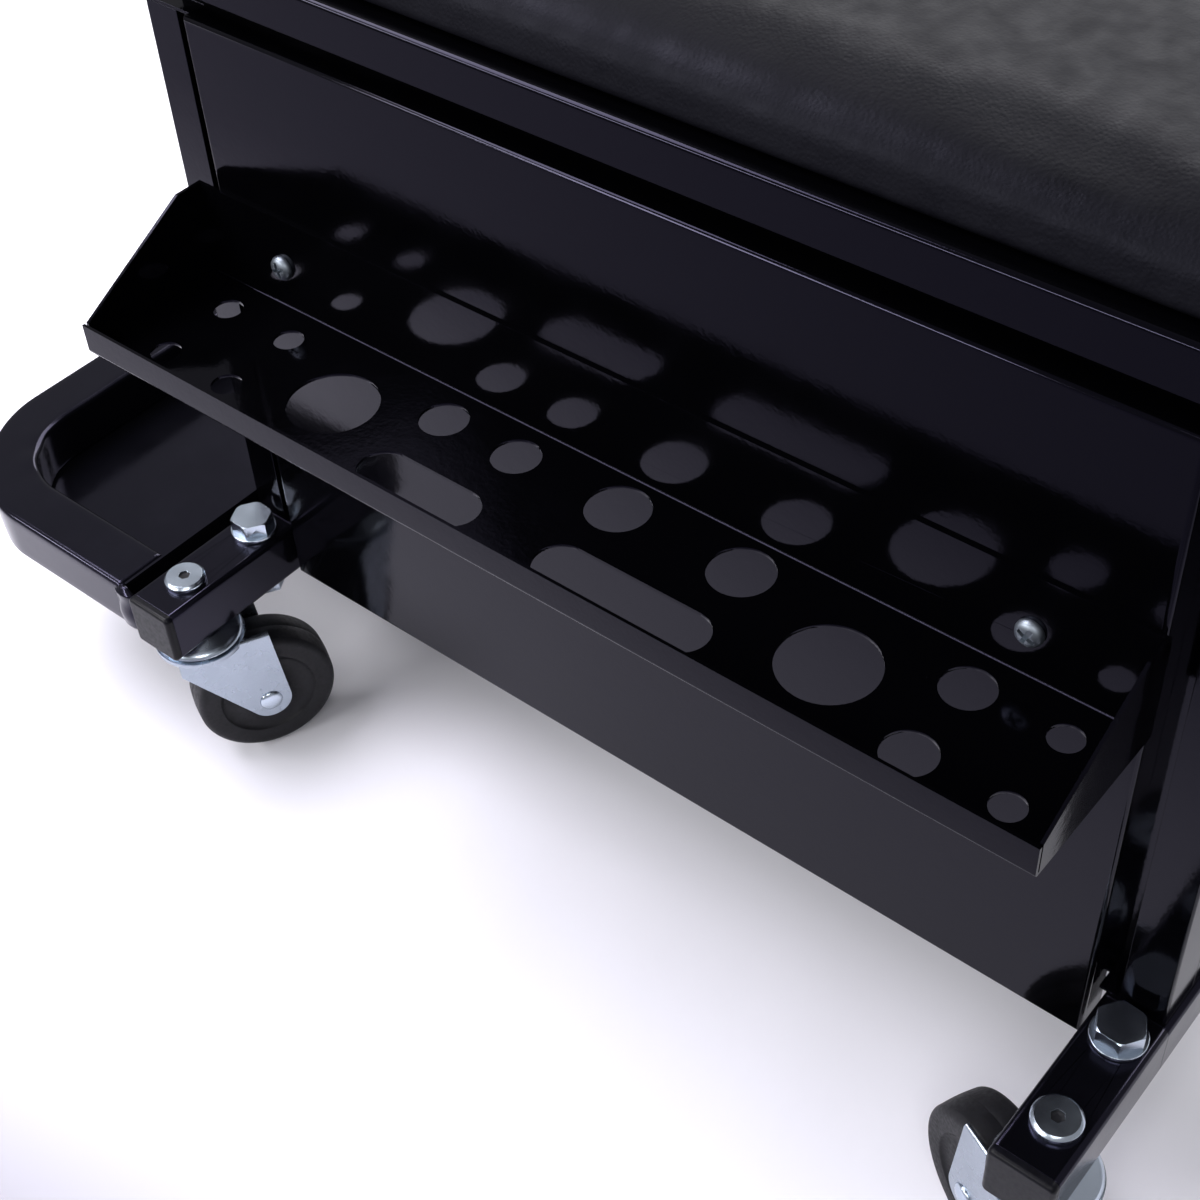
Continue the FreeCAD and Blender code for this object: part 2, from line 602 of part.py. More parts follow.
def drawer_front(index):
    """Sheet front whose upper edge folds outwards into a full-width pull."""
    low = drawer_low(index)
    high = low + DRAWER_HEIGHT
    y = OPENING_HALF_WIDTH - DRAWER_SIDE_GAP
    face = -HALF_LENGTH
    plate = box((face, -y, low), (face + SHEET, y, high))
    shelf = box((face - PULL_REACH, -y, high - SHEET), (face + SHEET, y, high))
    lip = box((face - PULL_REACH, -y, high - PULL_DROP), (face - PULL_REACH + SHEET, y, high))
    skin = plate.fuse([shelf, lip]).removeSplitter()
    fold = edges_where(skin, lambda e: is_along(e, (0, 1, 0)) and abs(e.CenterOfMass.z - high) < 1e-6)
    return skin.makeFillet(SHEET * 0.95, fold)


def drawer_box(index):
    """Open sheet box behind the front."""
    low = drawer_low(index) + DRAWER_BOX_LIFT
    start = -HALF_LENGTH + SHEET
    y = DRAWER_BOX_HALF_WIDTH
    tub = box((start, -y, low), (start + DRAWER_BOX_LENGTH, y, low + DRAWER_BOX_HEIGHT))
    inside = box((start + SHEET, -y + SHEET, low + SHEET),
                 (start + DRAWER_BOX_LENGTH - SHEET, y - SHEET, low + DRAWER_BOX_HEIGHT + 1))
    return tub.cut(inside)


def rail_middle(index):
    """Height of a drawer's slides."""
    return drawer_low(index) + DRAWER_BOX_LIFT + DRAWER_BOX_HEIGHT / 2


def channel(web_y, tip_y, half_height, start, length, middle):
    """Channel along X: an upright web at web_y with its two flanges reaching to tip_y."""
    side = 1 if web_y > tip_y else -1
    inner = web_y - side * RAIL_SHEET
    web = box((start, min(web_y, inner), middle - half_height),
              (start + length, max(web_y, inner), middle + half_height))
    flanges = []
    for edge in (-half_height, half_height - RAIL_SHEET):
        flanges.append(box((start, min(web_y, tip_y), middle + edge),
                           (start + length, max(web_y, tip_y), middle + edge + RAIL_SHEET)))
    return web.fuse(flanges).removeSplitter()


def cabinet_slide_rails():
    """Fixed halves of the six drawer slides."""
    start = -HALF_LENGTH + RAIL_SETBACK
    made = []
    for index in range(DRAWER_COUNT):
        tip = DRAWER_BOX_HALF_WIDTH + RAIL_SHEET + RUNNER_CLEARANCE
        rail = channel(OPENING_HALF_WIDTH, tip, RAIL_HEIGHT / 2, start, RAIL_LENGTH, rail_middle(index))
        made += [rail, rail.mirror(Vector(), Vector(0, 1, 0))]
    return Part.Compound(made)


def drawer_runners(index):
    """Moving halves of a drawer's two slides, nested in the fixed ones."""
    start = -HALF_LENGTH + 2 * SHEET
    half = RAIL_HEIGHT / 2 - RAIL_SHEET - RUNNER_CLEARANCE
    tip = OPENING_HALF_WIDTH - RAIL_SHEET - RUNNER_CLEARANCE
    runner = channel(DRAWER_BOX_HALF_WIDTH, tip, half, start, DRAWER_BOX_LENGTH - SHEET,
                     rail_middle(index))
    return Part.Compound([runner, runner.mirror(Vector(), Vector(0, 1, 0))])


# ---------------------------------------------------------------- lid

def lid_shell():
    """Sheet cap with a folded skirt."""
    cap = rounded_rectangle(HALF_LENGTH, HALF_DEPTH, LID_CORNER, LID_BOTTOM)
    cap = cap.extrude(Vector(0, 0, LID_TOP - LID_BOTTOM))
    top_edges = edges_where(cap, lambda e: abs(e.CenterOfMass.z - LID_TOP) < 1e-6)
    cap = cap.makeFillet(SHEET_BEND, top_edges)
    inside = rounded_rectangle(HALF_LENGTH - SHEET, HALF_DEPTH - SHEET, LID_CORNER - SHEET, LID_BOTTOM - 1)
    inside = inside.extrude(Vector(0, 0, LID_TOP - SHEET - LID_BOTTOM + 1))
    return cap.cut(inside)


def seat_pad():
    """Padded seat on the lid, as a plain block with rounded edges."""
    pad = rounded_rectangle(HALF_LENGTH - PAD_MARGIN, HALF_DEPTH - PAD_MARGIN, PAD_CORNER, LID_TOP)
    pad = pad.extrude(Vector(0, 0, PAD_THICKNESS))
    top_edges = edges_where(pad, lambda e: abs(e.CenterOfMass.z - LID_TOP - PAD_THICKNESS) < 1e-6)
    return pad.makeFillet(PAD_EDGE, top_edges)


def knuckle_spans(first):
    """Lengths of the hinge taken by every other knuckle, starting with knuckle number first."""
    pitch = HINGE_LENGTH / HINGE_KNUCKLES
    start = -HINGE_LENGTH / 2
    return [(start + k * pitch + KNUCKLE_GAP / 2, start + (k + 1) * pitch - KNUCKLE_GAP / 2)
            for k in range(first, HINGE_KNUCKLES, 2)]


def hinge_leaf(first, side):
    """Leaf against the chest's end, below the pin (side -1) or above it (side 1)."""
    clear = KNUCKLE_RADIUS + LEAF_CLEARANCE
    near, far = sorted((HINGE_Z + side * clear, HINGE_Z + side * HINGE_LEAF))
    half = HINGE_LENGTH / 2
    leaf = box((HALF_LENGTH, -half, near), (HALF_LENGTH + SHEET, half, far))
    parts = []
    for start, end in knuckle_spans(first):
        parts.append(cylinder(KNUCKLE_RADIUS, (HINGE_X, start, HINGE_Z), end - start, (0, 1, 0)))
        tab = sorted((HINGE_Z, HINGE_Z + side * (clear + 1)))
        parts.append(box((HALF_LENGTH, start, tab[0]), (HALF_LENGTH + SHEET, end, tab[1])))
    leaf = leaf.fuse(parts)
    bore = cylinder(HINGE_PIN_RADIUS + HINGE_CLEARANCE, (HINGE_X, -half - 1, HINGE_Z),
                    HINGE_LENGTH + 2, (0, 1, 0))
    return leaf.cut(bore).removeSplitter()


def hinge_pin():
    return cylinder(HINGE_PIN_RADIUS, (HINGE_X, -HINGE_LENGTH / 2 - HINGE_OVERHANG, HINGE_Z),
                    HINGE_LENGTH + 2 * HINGE_OVERHANG, (0, 1, 0))


# ---------------------------------------------------------------- tool trays

def tray_section():
    """Outline of the front tray across its length: back plate, floor and lip, folded from one sheet."""
    back = -HALF_DEPTH
    tip = back - TRAY_DEPTH
    low = TRAY_FLOOR - SHEET
    return face_of([
        (0, back, TRAY_BACK), (0, back, low), (0, tip, low), (0, tip, TRAY_FLOOR + TRAY_LIP),
        (0, tip + SHEET, TRAY_FLOOR + TRAY_LIP), (0, tip + SHEET, TRAY_FLOOR),
        (0, back - SHEET, TRAY_FLOOR), (0, back - SHEET, TRAY_BACK),
    ])


def tray_end_plate(x_low):
    """End plate: level at the back, then sloping straight down to the lip."""
    back = -HALF_DEPTH - SHEET
    tip = -HALF_DEPTH - TRAY_DEPTH + SHEET + TRAY_CORNER_GAP
    profile = [
        (x_low, back, TRAY_FLOOR - SHEET), (x_low, tip, TRAY_FLOOR - SHEET),
        (x_low, tip, TRAY_FLOOR + TRAY_LIP), (x_low, back - TRAY_END_FLAT, TRAY_BACK),
        (x_low, back, TRAY_BACK),
    ]
    return face_of(profile).extrude(Vector(SHEET, 0, 0))


def tray_cutters():
    """Everything cut out of the front tray: tool holes, slots and screw holes."""
    low = TRAY_FLOOR - SHEET - 1
    height = SHEET + 2
    cutters = []
    for x, row, diameter in TRAY_HOLES:
        y = -HALF_DEPTH - HOLE_ROWS[row]
        cutters.append(cylinder(diameter / 2, (TRAY_OFFSET + x, y, low), height))
    radius = SLOT_WIDTH / 2
    y = -HALF_DEPTH - HOLE_ROWS[2]
    for x, length in TRAY_SLOTS:
        middle = TRAY_OFFSET + x
        reach = length / 2 - radius
        cutters.append(box((middle - reach, y - radius, low), (middle + reach, y + radius, low + height)))
        for side in (-reach, reach):
            cutters.append(cylinder(radius, (middle + side, y, low), height))
    for x, z in tray_screw_places():
        cutters.append(cylinder(SCREW_RADIUS + HOLE_CLEARANCE, (x, -HALF_DEPTH - SHEET - 1, z),
                                SHEET + 2, (0, 1, 0)))
    return cutters


def tool_tray():
    """Front tool tray, folded from one sheet."""
    half = TRAY_LENGTH / 2
    channel_shape = tray_section().extrude(Vector(TRAY_LENGTH, 0, 0))
    channel_shape.translate(Vector(TRAY_OFFSET - half, 0, 0))
    low = TRAY_FLOOR - SHEET
    folds = edges_where(channel_shape, lambda e: is_along(e, (1, 0, 0))
                        and abs(e.CenterOfMass.z - low) < 1e-6)
    channel_shape = channel_shape.makeFillet(SHEET_BEND - 0.4, folds)
    inner_folds = edges_where(channel_shape, lambda e: is_along(e, (1, 0, 0))
                              and abs(e.CenterOfMass.z - TRAY_FLOOR) < 1e-6)
    channel_shape = channel_shape.makeFillet(SHEET_BEND - SHEET - 0.3, inner_folds)
    plates = [tray_end_plate(TRAY_OFFSET - half), tray_end_plate(TRAY_OFFSET + half - SHEET)]
    tray = channel_shape.fuse(plates).removeSplitter()
    return tray.cut(Part.Compound(tray_cutters()))


# ---------------------------------------------------------------- casters

def caster_mount():
    """Fixed part of a caster on its own axis: stem, kingpin and upper race."""
    gap_top = FORK_TOP + SWIVEL_GAP
    head_top = FORK_TOP - FORK_SHEET - SWIVEL_GAP
    return revolved([
        (0, head_top - KINGPIN_HEAD), (KINGPIN_HEAD_RADIUS - 1, head_top - KINGPIN_HEAD),
        (KINGPIN_HEAD_RADIUS, head_top - KINGPIN_HEAD / 2), (KINGPIN_HEAD_RADIUS, head_top),
        (KINGPIN_RADIUS, head_top), (KINGPIN_RADIUS, gap_top), (RACE_RADIUS - RACE_EDGE, gap_top),
        (RACE_RADIUS, gap_top + RACE_EDGE), (RACE_RADIUS - 1, gap_top + RACE_HEIGHT),
        (RACE_NECK_RADIUS, FRAME_BOTTOM), (KINGPIN_RADIUS, FRAME_BOTTOM),
        (KINGPIN_RADIUS, STEM_TOP), (0, STEM_TOP),
    ])


def tangent_point(start, centre, radius, side):
    """Where the line from start touches a circle in the XZ plane; side 1 is left of the line, -1 right."""
    along = math.atan2(start[1] - centre[1], start[0] - centre[0])
    turn = math.acos(radius / math.dist(start, centre))
    angle = along + side * turn
    return (centre[0] + radius * math.cos(angle), centre[1] + radius * math.sin(angle))


def upright(point):
    return Vector(point[0], 0, point[1])


def caster_fork():
    """Stamped fork on its own axis, its trail along +X: round top plate and two tapered legs."""
    plate_low = FORK_TOP - FORK_SHEET
    outer = FORK_HALF_WIDTH
    axle = (CASTER_TRAIL, WHEEL_RADIUS)
    shoulder = math.sqrt(FORK_PLATE_RADIUS ** 2 - outer ** 2)
    front_top, back_top = (-shoulder, FORK_TOP), (FORK_LEG_REACH, FORK_TOP)
    front_low = (-shoulder, plate_low - FORK_LEG_DROP)
    front = tangent_point(front_low, axle, FORK_EYE_RADIUS, 1)
    back = tangent_point(back_top, axle, FORK_EYE_RADIUS, -1)
    straight = [Part.makeLine(upright(p), upright(q)) for p, q in
                ((front_top, front_low), (front_low, front), (back, back_top), (back_top, front_top))]
    lowest = (axle[0], axle[1] - FORK_EYE_RADIUS)
    eye = Part.Arc(upright(front), upright(lowest), upright(back)).toShape()
    outline = Part.Face(Part.Wire([straight[0], straight[1], eye, straight[2], straight[3]]))
    legs = []
    for start in (-outer, outer - FORK_SHEET):
        leg = outline.extrude(Vector(0, FORK_SHEET, 0))
        leg.translate(Vector(0, start, 0))
        legs.append(leg)
    plate = cylinder(FORK_PLATE_RADIUS, (0, 0, plate_low), FORK_SHEET)
    deck = box((-shoulder, -outer, plate_low), (shoulder, outer, FORK_TOP))
    fork = plate.fuse(legs + [deck]).removeSplitter()
    folds = edges_where(fork, lambda e: is_along(e, (1, 0, 0)) and abs(e.CenterOfMass.z - FORK_TOP) < 1e-6
                        and abs(abs(e.CenterOfMass.y) - outer) < 1e-6)
    fork = fork.makeFillet(FORK_SHEET * 0.6, folds)
    bore = cylinder(KINGPIN_RADIUS + RUNNING_CLEARANCE, (0, 0, plate_low - 1), FORK_SHEET + 2)
    eye_bore = cylinder(AXLE_RADIUS, (axle[0], -outer - 1, axle[1]), 2 * outer + 2, (0, 1, 0))
    return fork.cut(Part.Compound([bore, eye_bore]))


def caster_axle():
    """Riveted axle through the fork's eyes."""
    outer = FORK_HALF_WIDTH
    pin = cylinder(AXLE_RADIUS, (0, 0, -outer), 2 * outer)
    head = revolved([(0, 0), (AXLE_HEAD_RADIUS, 0), (AXLE_HEAD_RADIUS - 0.6, AXLE_HEAD * 0.7),
                     (AXLE_HEAD_RADIUS - 3.5, AXLE_HEAD), (0, AXLE_HEAD)])
    heads = []
    for turn in (0, 180):
        end = head.copy()
        end.translate(Vector(0, 0, outer))
        end.rotate(Vector(), Vector(1, 0, 0), turn)
        heads.append(end)
    axle = pin.fuse(heads).removeSplitter()
    axle.rotate(Vector(), Vector(1, 0, 0), 90)
    axle.translate(Vector(CASTER_TRAIL, 0, WHEEL_RADIUS))
    return axle


def caster_wheel():
    """Solid wheel with a dished side, bored for the axle."""
    half, hub_half = WHEEL_WIDTH / 2, WHEEL_HUB_WIDTH / 2
    bore = AXLE_RADIUS + RUNNING_CLEARANCE
    dish_outer = WHEEL_RADIUS - WHEEL_RIM
    profile = [
        (bore, -hub_half), (WHEEL_HUB_RADIUS - 1, -hub_half), (WHEEL_HUB_RADIUS, -half + WHEEL_DISH),
        (dish_outer, -half + WHEEL_DISH), (dish_outer + 2, -half), (WHEEL_RADIUS - WHEEL_SHOULDER, -half),
        (WHEEL_RADIUS - 0.8, -half + WHEEL_SHOULDER * 0.7), (WHEEL_RADIUS, -half + WHEEL_SHOULDER * 1.6),
    ]
    profile += [(r, -z) for r, z in reversed(profile)]
    wheel = revolved(profile)
    wheel.rotate(Vector(), Vector(1, 0, 0), 90)
    wheel.translate(Vector(CASTER_TRAIL, 0, WHEEL_RADIUS))
    return wheel


def at_caster(shape, sx, sy, trail):
    """Puts a caster piece on the stem axis of one corner, turned to its trail."""
    placed = shape.copy()
    placed.rotate(Vector(), Vector(0, 0, 1), trail)
    placed.translate(Vector(sx * ARM_X, sy * (HALF_DEPTH + CASTER_REACH), 0))
    return placed


# ---------------------------------------------------------------- assembly

def nodes():
    """Every sub-part by name, in chest coordinates."""
    front_panel, front_tray = side_panel(), tool_tray()
    made = {
        "base_cross_tube_left": base_cross_tube(-1),
        "base_cross_tube_right": base_cross_tube(1),
        "base_rails": base_rails(),
        "arm_spigots": arm_spigots(),
        "arm_end_caps": arm_end_caps(),
        "arm_bolts": arm_bolts(),
        "arm_washers": arm_washers(),
        "arm_nuts": arm_nuts(),
        "caster_bolts": caster_bolts(),
        "bumper_tube": bumper_tube(),
        "parts_tray": parts_tray(),
        "bumper_lugs": bumper_lugs(),
        "side_panel_front": front_panel,
        "side_panel_rear": turned(front_panel),
        "end_panel": end_panel(),
        "bottom_panel": bottom_panel(),
        "top_till": top_till(),
        "top_frame": top_frame(),
        "cabinet_slide_rails": cabinet_slide_rails(),
        "lid_shell": lid_shell(),
        "seat_pad": seat_pad(),
        "hinge_leaf_cabinet": hinge_leaf(0, -1),
        "hinge_leaf_lid": hinge_leaf(1, 1),
        "hinge_pin": hinge_pin(),
        "tool_tray_front": front_tray,
        "tool_tray_rear": turned(front_tray),
        "tool_tray_screws": tool_tray_screws(),
    }
    for index in range(DRAWER_COUNT):
        name = ("lower", "middle", "upper")[index]
        made[f"drawer_{name}_front"] = drawer_front(index)
        made[f"drawer_{name}_box"] = drawer_box(index)
        made[f"drawer_{name}_runners"] = drawer_runners(index)
    caster_pieces = {"mount": caster_mount(), "fork": caster_fork(),
                     "axle": caster_axle(), "wheel": caster_wheel()}
    for corner, sx, sy, trail in CORNERS:
        made[f"arm_{corner}"] = arm(sx, sy)
        made[f"post_{corner}"] = corner_post(sx, sy)
        for piece, shape in caster_pieces.items():
            made[f"caster_{corner}_{piece}"] = at_caster(shape, sx, sy, trail)
    return made


os.makedirs("parts", exist_ok=True)
for node, solid in nodes().items():
    write(node, solid)
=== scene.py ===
import json
import math

import bmesh
import bpy
from mathutils import Matrix, Vector


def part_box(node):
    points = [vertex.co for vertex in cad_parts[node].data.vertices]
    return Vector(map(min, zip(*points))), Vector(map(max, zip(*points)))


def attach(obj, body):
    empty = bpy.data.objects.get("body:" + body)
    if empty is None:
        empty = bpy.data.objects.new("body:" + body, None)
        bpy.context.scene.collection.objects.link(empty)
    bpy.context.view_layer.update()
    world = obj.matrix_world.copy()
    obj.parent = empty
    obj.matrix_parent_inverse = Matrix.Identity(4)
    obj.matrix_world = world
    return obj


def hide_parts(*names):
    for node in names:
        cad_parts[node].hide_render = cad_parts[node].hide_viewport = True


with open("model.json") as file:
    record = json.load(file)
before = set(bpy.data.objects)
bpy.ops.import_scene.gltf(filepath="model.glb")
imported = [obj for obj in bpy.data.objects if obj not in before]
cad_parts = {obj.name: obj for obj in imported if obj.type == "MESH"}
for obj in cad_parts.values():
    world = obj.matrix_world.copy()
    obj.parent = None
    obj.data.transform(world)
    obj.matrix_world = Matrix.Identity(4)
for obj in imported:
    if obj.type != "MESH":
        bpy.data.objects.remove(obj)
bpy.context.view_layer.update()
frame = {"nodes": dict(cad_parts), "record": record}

CORNERS = ("front_left", "front_right", "rear_left", "rear_right")

# ---------------------------------------------------------------- camera

CAMERA_FROM_TRAY = (0.33308, -0.3150, 0.4311)   # from the middle of the front tool tray's low front edge
CAMERA_RIGHT = (0.7696, 0.6368, -0.0472)
CAMERA_UP = (-0.4193, 0.5597, 0.7148)
LENS = 58.56
SENSOR = 36.0
CLIP_NEAR = 0.01
CLIP_FAR = 50


def make_camera():
    right = Vector(CAMERA_RIGHT).normalized()
    back = right.cross(Vector(CAMERA_UP)).normalized()
    up = back.cross(right)
    data = bpy.data.cameras.new("camera")
    data.lens, data.sensor_width = LENS, SENSOR
    data.clip_start, data.clip_end = CLIP_NEAR, CLIP_FAR
    camera = bpy.data.objects.new("camera", data)
    turn = Matrix((right, up, back)).transposed().to_4x4()
    low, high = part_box("tool_tray_front")
    tray = Vector(((low.x + high.x) / 2, low.y, low.z))
    camera.matrix_world = Matrix.Translation(tray + Vector(CAMERA_FROM_TRAY)) @ turn
    bpy.context.scene.collection.objects.link(camera)
    bpy.context.scene.camera = camera


# ---------------------------------------------------------------- materials

class Surface:
    """A material with one Principled shader and procedural nodes in object coordinates, in metres."""

    def __init__(self, name, colour, rough, metal=0.0, ior=1.45):
        self.material = bpy.data.materials.new(name)
        self.material.use_nodes = True
        self.tree = self.material.node_tree
        self.shader = self.tree.nodes["Principled BSDF"]
        self.set("Base Color", (*colour, 1))
        self.set("Roughness", rough)
        self.set("Metallic", metal)
        self.set("IOR", ior)
        self.place = self.tree.nodes.new("ShaderNodeTexCoord").outputs["Object"]

    def set(self, socket, value):
        self.shader.inputs[socket].default_value = value

    def node(self, kind, inputs=None, **settings):
        made = self.tree.nodes.new(kind)
        for key, value in settings.items():
            setattr(made, key, value)
        for key, value in (inputs or {}).items():
            if isinstance(value, bpy.types.NodeSocket):
                self.tree.links.new(value, made.inputs[key])
            else:
                made.inputs[key].default_value = value
        return made

    def noise(self, scale, detail=2.0, rough=0.5, stretch=None):
        """Noise of so many waves a metre, from 0 to 1, in a place stretched along the axes if asked."""
        place = self.place
        if stretch:
            mapping = self.node("ShaderNodeMapping", {"Vector": place, "Scale": stretch})
            place = mapping.outputs["Vector"]
        return self.node("ShaderNodeTexNoise", {
            "Vector": place, "Scale": scale, "Detail": detail, "Roughness": rough}).outputs["Fac"]

    def spread(self, value, low, high, start=0.3, end=0.7):
        """Maps a noise's start..end to low..high."""
        mapped = self.node("ShaderNodeMapRange", {
            "Value": value, "From Min": start, "From Max": end, "To Min": low, "To Max": high})
        return mapped.outputs["Result"]

    def tint(self, value, *stops):
        """Colour ramp from (position, colour) stops."""
        ramp = self.node("ShaderNodeValToRGB", {"Fac": value})
        elements = ramp.color_ramp.elements
        while len(elements) < len(stops):
            elements.new(0.5)
        for element, (position, colour) in zip(elements, stops):
            element.position = position
            element.color = (*colour, 1)
        return ramp.outputs["Color"]

    def link(self, output, socket):
        self.tree.links.new(output, self.shader.inputs[socket])

    def bump(self, *layers):
        """Stacks (height, distance in metres, strength) layers into the shader's normal."""
        normal = None
        for height, distance, strength in layers:
            inputs = {"Height": height, "Distance": distance, "Strength": strength}
            if normal:
                inputs["Normal"] = normal
            normal = self.node("ShaderNodeBump", inputs).outputs["Normal"]
        self.link(normal, "Normal")


PANEL_BLACK = (0.0006, 0.0006, 0.0009)
FRAME_BLACK = (0.002, 0.002, 0.003)
PAINT_TINT = (0.66, 0.62, 1.0)
PAINT_DUST = (0.012, 0.012, 0.014)
DUST_FROM, DUST_FULL = 0.74, 0.84   # heights of the dust's noise, so only a few specks show
ZINC = (0.56, 0.63, 0.72)
VINYL_BLACK = (0.0012, 0.0012, 0.0018)
VINYL_TINT = (0.75, 0.75, 1.0)
VINYL_GRAIN = 900.0                 # grains a metre


def gloss_paint(name, rough, peel, colour, ior):
    """Sprayed paint with orange peel and a few specks of dust."""
    s = Surface(name, colour, rough, ior=ior)
    s.set("Specular Tint", (*PAINT_TINT, 1))
    dust = s.noise(900, 3, 0.6)
    s.link(s.spread(s.noise(35, 4, 0.6), rough * 0.8, rough * 1.5), "Roughness")
    s.link(s.tint(dust, (0.0, colour), (DUST_FROM, colour), (DUST_FULL, PAINT_DUST)), "Base Color")
    s.bump((s.noise(620, 2, 0.5), 0.00005, peel), (s.noise(150, 2, 0.5), 0.00012, peel * 0.6))
    return s.material


def zinc(name, rough=0.22, painted_shade_factor=1.0):
    """Blue-white plating with slightly cloudy patches; the factor that scales its colour darkens it all as
    painted shade when below 1.
    """
    plain = [painted_shade_factor * value for value in ZINC]
    darker = [0.95 * value for value in plain]
    lighter = [1.05 * value for value in plain]
    s = Surface(name, plain, rough, metal=1.0)
    s.link(s.tint(s.noise(70, 3, 0.5), (0.30, darker), (0.55, plain), (0.8, lighter)), "Base Color")
    s.link(s.spread(s.noise(110, 3, 0.5), rough * 0.9, rough * 1.25), "Roughness")
    s.bump((s.noise(900, 2, 0.5), 0.000004, 0.3))
    return s.material


def mottled(surface, scale, detail, dark, light):
    """Base colour that varies between two tones."""
    spots = surface.noise(scale, *detail)
    surface.link(surface.tint(spots, (0.3, dark), (0.75, light)), "Base Color")


def rubber(name):
    s = Surface(name, (0.009, 0.009, 0.011), 0.5, ior=1.32)
    mottled(s, 180, (5, 0.6), (0.006, 0.006, 0.0075), (0.012, 0.012, 0.015))
    s.link(s.spread(s.noise(700, 3), 0.42, 0.62), "Roughness")
    s.bump((s.noise(2600, 3, 0.6), 0.00004, 0.5))
    return s.material


def moulded(name):
    """Fine-grained black plastic."""
    s = Surface(name, (0.003, 0.003, 0.005), 0.35, ior=1.26)
    mottled(s, 300, (4,), (0.002, 0.002, 0.0035), (0.004, 0.004, 0.007))
    s.link(s.spread(s.noise(600, 3), 0.30, 0.45), "Roughness")
    s.bump((s.noise(3500, 2, 0.5), 0.00003, 0.6))
    return s.material


def vinyl(name):
    """Soft vinyl with a leather grain and shallow creases, longer across the seat than along it."""
    s = Surface(name, VINYL_BLACK, 0.5, ior=1.19)
    s.set("Specular Tint", (*VINYL_TINT, 1))
    cells = s.node("ShaderNodeTexVoronoi", {"Vector": s.place, "Scale": VINYL_GRAIN}, feature="SMOOTH_F1")
    mottled(s, 45, (4, 0.6), VINYL_BLACK, (0.003, 0.003, 0.004))
    s.link(s.spread(s.noise(90, 3), 0.44, 0.58), "Roughness")
    creases = s.noise(40, 4, 0.55, stretch=(2.4, 0.7, 1.0))
    grain = cells.outputs["Distance"]
    s.bump((creases, 0.0010, 0.35), (grain, 0.00025, 0.35), (s.noise(2200, 2), 0.00005, 0.4))
    return s.material


MATERIALS = {
    "gloss_black_paint": gloss_paint("gloss_black_paint", 0.08, 0.30, PANEL_BLACK, 1.255),
    "black_frame_paint": gloss_paint("black_frame_paint", 0.14, 0.35, FRAME_BLACK, 1.40),
    "zinc_plate": zinc("zinc_plate"),
    "cap_plastic": moulded("cap_plastic"),
    "wheel_rubber": rubber("wheel_rubber"),
    "seat_vinyl": vinyl("seat_vinyl"),
    "slide_steel": zinc("slide_steel", 0.3),
    # the screws' and forks' zinc are darkened copies of the plating: painted shade, the screws' also rougher
    "screw_zinc_rough_painted_shade": zinc("screw_zinc_rough_painted_shade", 0.42, painted_shade_factor=0.42),
    "fork_zinc": zinc("fork_zinc", 0.25, painted_shade_factor=0.70),
}

# ---------------------------------------------------------------- stage and light

FLOOR_HALF = 8.0
FLOOR_WHITE_Y = -0.31       # the floor is white from here back, and painted grey in front of the next: painted shade that the panels reflect as a dark band
FLOOR_PAINTED_SHADE_Y = -0.52
FLOOR_WHITE = (0.88, 0.87, 0.93)
FLOOR_PAINTED_SHADE = (0.28, 0.27, 0.33)
SKY = (0.95, 0.95, 1.0)
SKY_STRENGTH = 0.36
WHITE = (1, 1, 1)

# name, place, point lit, size, power in watts, colour
LIGHTS = (
    ("top_box", (-0.75, -0.45, 1.30), (-0.35, -0.28, 0.0), (0.8, 0.7), 20, (0.94, 0.92, 1.0)),
    ("right_box", (0.55, -0.85, 0.9), (0.25, -0.35, 0.0), (0.5, 0.4), 3, WHITE),
    ("back_box", (-0.5, 1.9, 1.9), (-0.25, 0.0, 0.1), (2.6, 1.6), 70, WHITE),
    ("edge_strip", (-1.06, -1.95, 1.12), (0.0, -0.2, 0.3), (1.8, 0.25), 36, WHITE),
)


def area_light(name, at, towards, size, power, colour):
    data = bpy.data.lights.new(name, "AREA")
    data.shape = "RECTANGLE"
    data.size, data.size_y = size
    data.energy, data.color = power, colour
    lamp = bpy.data.objects.new(name, data)
    lamp.location = at
    lamp.rotation_mode = "QUATERNION"
    lamp.rotation_quaternion = (Vector(towards) - Vector(at)).to_track_quat("-Z", "Y")
    bpy.context.scene.collection.objects.link(lamp)


def pale_floor_with_painted_shade():
    """White under the chest, shading off to light grey in front of it: painted shade, so that the panels
    reflect a dark band.
    """
    s = Surface("pale_floor_with_painted_shade", FLOOR_WHITE, 0.9)
    s.set("Specular IOR Level", 0.1)
    ahead = s.node("ShaderNodeSeparateXYZ", {"Vector": s.place}).outputs["Y"]
    edges = {"Value": ahead, "From Min": FLOOR_PAINTED_SHADE_Y, "From Max": FLOOR_WHITE_Y}
    shade = s.node("ShaderNodeMapRange", edges, interpolation_type="SMOOTHSTEP")
    s.link(s.tint(shade.outputs["Result"], (0.0, FLOOR_PAINTED_SHADE), (1.0, FLOOR_WHITE)), "Base Color")
    return s.material


def make_stage():
    mesh = bpy.data.meshes.new("floor")
    corners = [(FLOOR_HALF * x, FLOOR_HALF * y, 0) for x, y in ((-1, -1), (1, -1), (1, 1), (-1, 1))]
    mesh.from_pydata(corners, [], [(0, 1, 2, 3)])
    floor = bpy.data.objects.new("floor", mesh)
    bpy.context.scene.collection.objects.link(floor)
    mesh.materials.append(pale_floor_with_painted_shade())

    world = bpy.data.worlds.new("studio")
    world.use_nodes = True
    sky = world.node_tree.nodes["Background"]
    sky.inputs["Color"].default_value = (*SKY, 1)
    sky.inputs["Strength"].default_value = SKY_STRENGTH
    bpy.context.scene.world = world
    for light in LIGHTS:
        area_light(*light)
    bpy.context.scene.view_settings.view_transform = "Standard"


